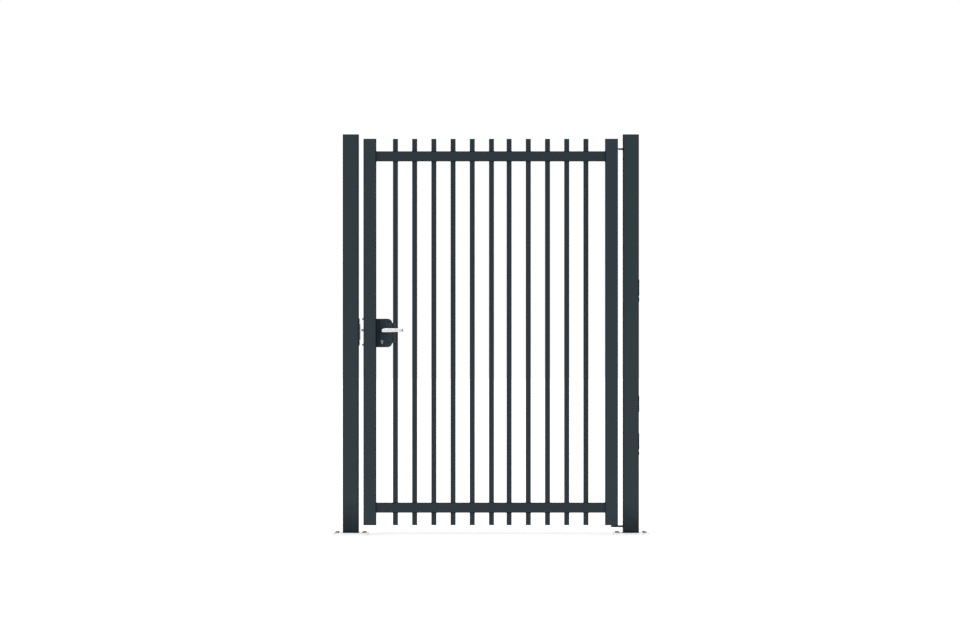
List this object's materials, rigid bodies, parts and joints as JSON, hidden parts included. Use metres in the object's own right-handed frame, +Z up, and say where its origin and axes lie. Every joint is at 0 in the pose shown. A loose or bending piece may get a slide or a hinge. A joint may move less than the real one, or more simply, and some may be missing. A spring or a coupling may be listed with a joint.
{
  "type": "steel garden gate",
  "caption": "Single-leaf upright-bar steel gate hung on concealed pivots between two square posts on bolt-down base plates, with a latch lock and lever handles.",
  "frame": {"origin": "centre of the hinge post's base plate, on its underside", "axes": "+Z up; +X along the gate from the latch post to the hinge post; +Y to the back, the side the leaf opens to"},
  "size_m": [1.5865, 0.18, 2.01],
  "materials": {
    "powder_coated_steel": "anthracite grey powder coat, fine satin texture",
    "galvanised_steel": "bright galvanised",
    "lock_coating": "dark anthracite coating, satin",
    "satin_metal": "satin bright metal",
    "dull_nickel": "matt nickel"
  },
  "bodies": {
    "posts": {"hinge_post": "powder_coated_steel", "hinge_post_cap": "powder_coated_steel", "hinge_post_plate": "galvanised_steel", "latch_post": "powder_coated_steel", "latch_post_cap": "powder_coated_steel", "latch_post_plate": "galvanised_steel", "lower_hinge_plate": "powder_coated_steel", "lower_pivot_pin": "galvanised_steel", "lower_thrust_washer": "galvanised_steel", "upper_hinge_lug": "powder_coated_steel", "upper_pivot_tongue": "galvanised_steel", "lock_keep": "powder_coated_steel", "fence_clips": "powder_coated_steel"},
    "leaf": {"hinge_stile": "powder_coated_steel", "hinge_stile_cap": "powder_coated_steel", "hinge_stile_foot": "galvanised_steel", "lock_stile": "powder_coated_steel", "lock_stile_top_cap": "powder_coated_steel", "lock_stile_bottom_cap": "powder_coated_steel", "upper_pivot_bearings": "galvanised_steel", "upper_pivot_pin": "galvanised_steel", "top_rail": "powder_coated_steel", "bottom_rail": "powder_coated_steel", "bar_01": "powder_coated_steel", "bar_02": "powder_coated_steel", "bar_03": "powder_coated_steel", "bar_04": "powder_coated_steel", "bar_05": "powder_coated_steel", "bar_06": "powder_coated_steel", "bar_07": "powder_coated_steel", "bar_08": "powder_coated_steel", "bar_09": "powder_coated_steel", "bar_10": "powder_coated_steel", "bar_11": "powder_coated_steel", "bar_top_caps": "powder_coated_steel", "bar_bottom_caps": "powder_coated_steel", "lock_case": "lock_coating", "lock_cover_front": "lock_coating", "lock_cover_back": "lock_coating", "lock_bar_ties": "powder_coated_steel", "key_cylinder": "dull_nickel"},
    "handle": {"lever_front": "satin_metal", "lever_back": "satin_metal", "handle_spindle": "galvanised_steel"},
    "latch": {"latch_bolt": "satin_metal"}
  },
  "joints": [
    {"name": "gate_swing", "type": "hinge", "parent": "posts", "child": "leaf", "pos_m": [-0.08, 0, 0], "axis": [0, 0, -1], "range_deg": [0, 90]},
    {"name": "handle_turn", "type": "hinge", "parent": "leaf", "child": "handle", "pos_m": [-1.241, 0, 1.027], "axis": [0, 1, 0], "range_deg": [0, 40], "stiffness_Nm_per_rad": 1.5, "springref_deg": -20.05},
    {"name": "latch_slide", "type": "slide", "parent": "leaf", "child": "latch", "axis": [1, 0, 0], "range_m": [0, 0.011]}
  ],
  "couplings": [
    {"joint": "latch_slide", "follows": "handle_turn", "m_per_rad": 0.0157}
  ]
}
